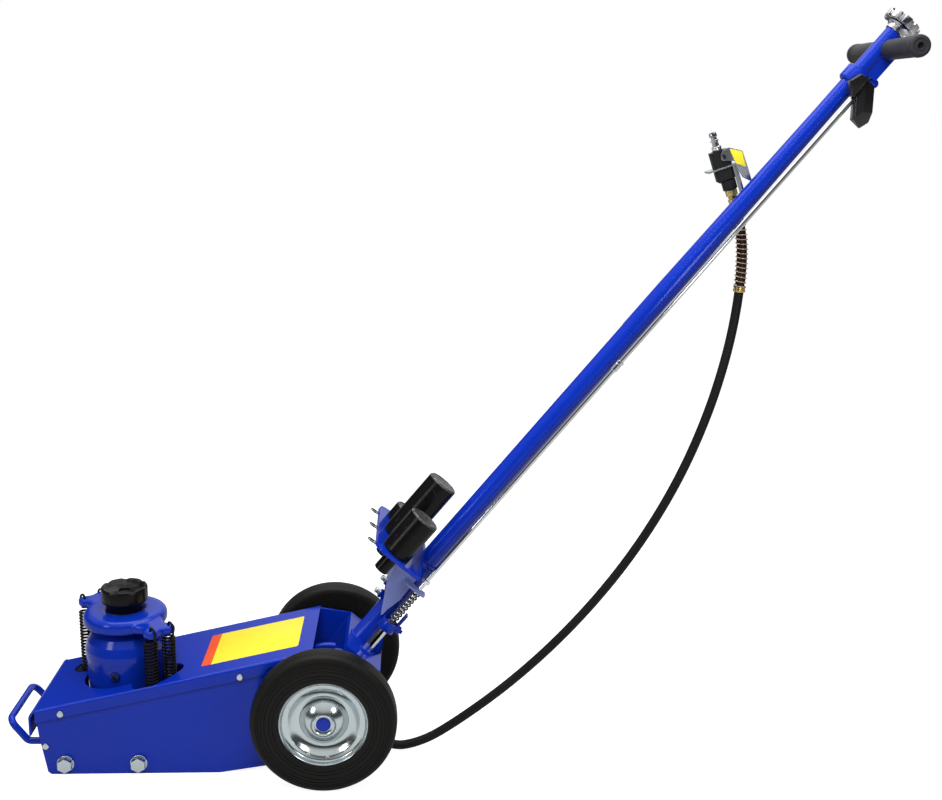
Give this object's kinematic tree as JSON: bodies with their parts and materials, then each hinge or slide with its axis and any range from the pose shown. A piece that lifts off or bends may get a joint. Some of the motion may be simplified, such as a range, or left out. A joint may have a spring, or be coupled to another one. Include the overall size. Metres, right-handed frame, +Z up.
{
  "type": "air hydraulic trolley jack",
  "caption": "Air-over-hydraulic truck jack: low two-wheeled chassis with a sprung ram, long swinging handle with T-grip, trigger latch, release knob and air hose.",
  "frame": {"origin": "on the ground, under the centre of the lifting ram", "axes": "+X back towards the handle, +Y to the jack's right, +Z up"},
  "size_m": [1.2367, 0.2852, 1.0532],
  "materials": {
    "blue_paint": "gloss",
    "zinc_plate": "satin",
    "chrome_plate": "polished",
    "ground_steel": "satin",
    "black_oxide": "satin",
    "tyre_rubber": "matte",
    "soft_rubber": "matte",
    "black_plastic": "satin",
    "brass": "satin",
    "cast_alloy": "cast"
  },
  "bodies": {
    "chassis": {"left_side_plate": "blue_paint", "right_side_plate": "blue_paint", "top_cover": "blue_paint", "cover_screws": "zinc_plate", "base_bolts": "zinc_plate", "base_plate": "blue_paint", "front_crossbar": "blue_paint", "front_bail": "blue_paint", "rear_crossmember": "blue_paint", "left_stub_axle": "blue_paint", "right_stub_axle": "blue_paint", "axle_rings": "zinc_plate", "latch_quadrant": "blue_paint", "hydraulic_base": "blue_paint", "reservoir": "blue_paint", "filler_plug": "soft_rubber", "ram_barrel": "ground_steel", "gland_nut": "blue_paint", "air_motor_cylinder": "cast_alloy", "hose_inlet": "brass", "air_hose": "soft_rubber", "return_springs": "black_oxide", "release_joint": "ground_steel"},
    "ram": {"ram": "ground_steel", "spring_plate": "blue_paint"},
    "saddle": {"saddle": "black_oxide"},
    "left_wheel": {"left_tyre": "tyre_rubber", "left_rim": "zinc_plate"},
    "right_wheel": {"right_tyre": "tyre_rubber", "right_rim": "zinc_plate"},
    "handle": {"handle_yoke": "blue_paint", "handle_bracket": "blue_paint", "bracket_bolts": "zinc_plate", "lower_tube": "blue_paint", "upper_tube": "blue_paint", "adapter_tray": "blue_paint", "short_adapter": "black_oxide", "medium_adapter": "black_oxide", "long_adapter": "black_oxide", "adapter_clips": "zinc_plate", "handle_crossbar": "blue_paint", "hand_grips": "black_plastic", "trigger_bracket": "blue_paint", "hub_nut": "chrome_plate", "valve_fitting": "brass", "valve_body": "black_plastic", "air_nipple": "chrome_plate", "valve_strap": "zinc_plate", "hose_guard": "brass", "latch_spring": "black_oxide"},
    "latch": {"latch_pin": "chrome_plate", "latch_cup": "blue_paint", "latch_rod": "chrome_plate"},
    "trigger": {"trigger_lever": "black_plastic"},
    "release_knob": {"release_knob": "chrome_plate", "release_rod": "ground_steel"},
    "release_valve": {"release_shaft": "ground_steel"},
    "air_piston": {"air_piston": "ground_steel"},
    "valve_lever": {"valve_lever": "zinc_plate"},
    "valve_plunger": {"valve_plunger": "ground_steel"}
  },
  "joints": [
    {"name": "left_wheel_spin", "type": "hinge", "parent": "chassis", "child": "left_wheel", "pos_m": [0.2903, -0.12365, 0.1], "axis": [0, 1, 0], "continuous": true},
    {"name": "right_wheel_spin", "type": "hinge", "parent": "chassis", "child": "right_wheel", "pos_m": [0.2903, 0.12365, 0.1], "axis": [0, 1, 0], "continuous": true},
    {"name": "handle_swing", "type": "hinge", "parent": "chassis", "child": "handle", "pos_m": [0.2903, 0, 0.1], "axis": [0, 1, 0], "range_deg": [-28, 30], "deforming": ["air_hose", "hose_guard", "release_joint"]},
    {"name": "ram_lift", "type": "slide", "parent": "chassis", "child": "ram", "axis": [0, 0, 1], "range_m": [0, 0.11], "deforming": ["return_springs"]},
    {"name": "saddle_turn", "type": "hinge", "parent": "ram", "child": "saddle", "pos_m": [0, 0, 0.2], "axis": [0, 0, 1], "continuous": true},
    {"name": "latch_slide", "type": "slide", "parent": "handle", "child": "latch", "axis": [0.6386, 0, 0.7695], "range_m": [-0.0056, 0.0036], "deforming": ["latch_spring"]},
    {"name": "trigger_pull", "type": "hinge", "parent": "handle", "child": "trigger", "pos_m": [0.99149, -0.027, 0.96054], "axis": [0, -1, 0], "range_deg": [-24.5, 16]},
    {"name": "release_knob_turn", "type": "hinge", "parent": "handle", "child": "release_knob", "pos_m": [0.66732, 0, 0.56682], "axis": [0.6386, 0, 0.7695], "range_deg": [0, 360]},
    {"name": "release_valve_turn", "type": "hinge", "parent": "chassis", "child": "release_valve", "pos_m": [0.16, 0, 0.1], "axis": [1, 0, 0], "range_deg": [0, 360]},
    {"name": "air_piston_stroke", "type": "slide", "parent": "chassis", "child": "air_piston", "axis": [-1, 0, 0], "range_m": [0, 0.03]},
    {"name": "valve_lever_press", "type": "hinge", "parent": "handle", "child": "valve_lever", "pos_m": [0.8297, 0.027, 0.85618], "axis": [0, 1, 0], "range_deg": [0, 12], "stiffness_Nm_per_rad": 0.05},
    {"name": "valve_plunger_slide", "type": "slide", "parent": "handle", "child": "valve_plunger", "axis": [-0.943, 0, -0.3328], "range_m": [0, 0.0025]}
  ],
  "couplings": [
    {"joint": "trigger_pull", "follows": "latch_slide", "rad_per_m": 74.074},
    {"joint": "release_valve_turn", "follows": "release_knob_turn", "ratio": 1},
    {"joint": "valve_plunger_slide", "follows": "valve_lever_press", "m_per_rad": 0.01}
  ]
}
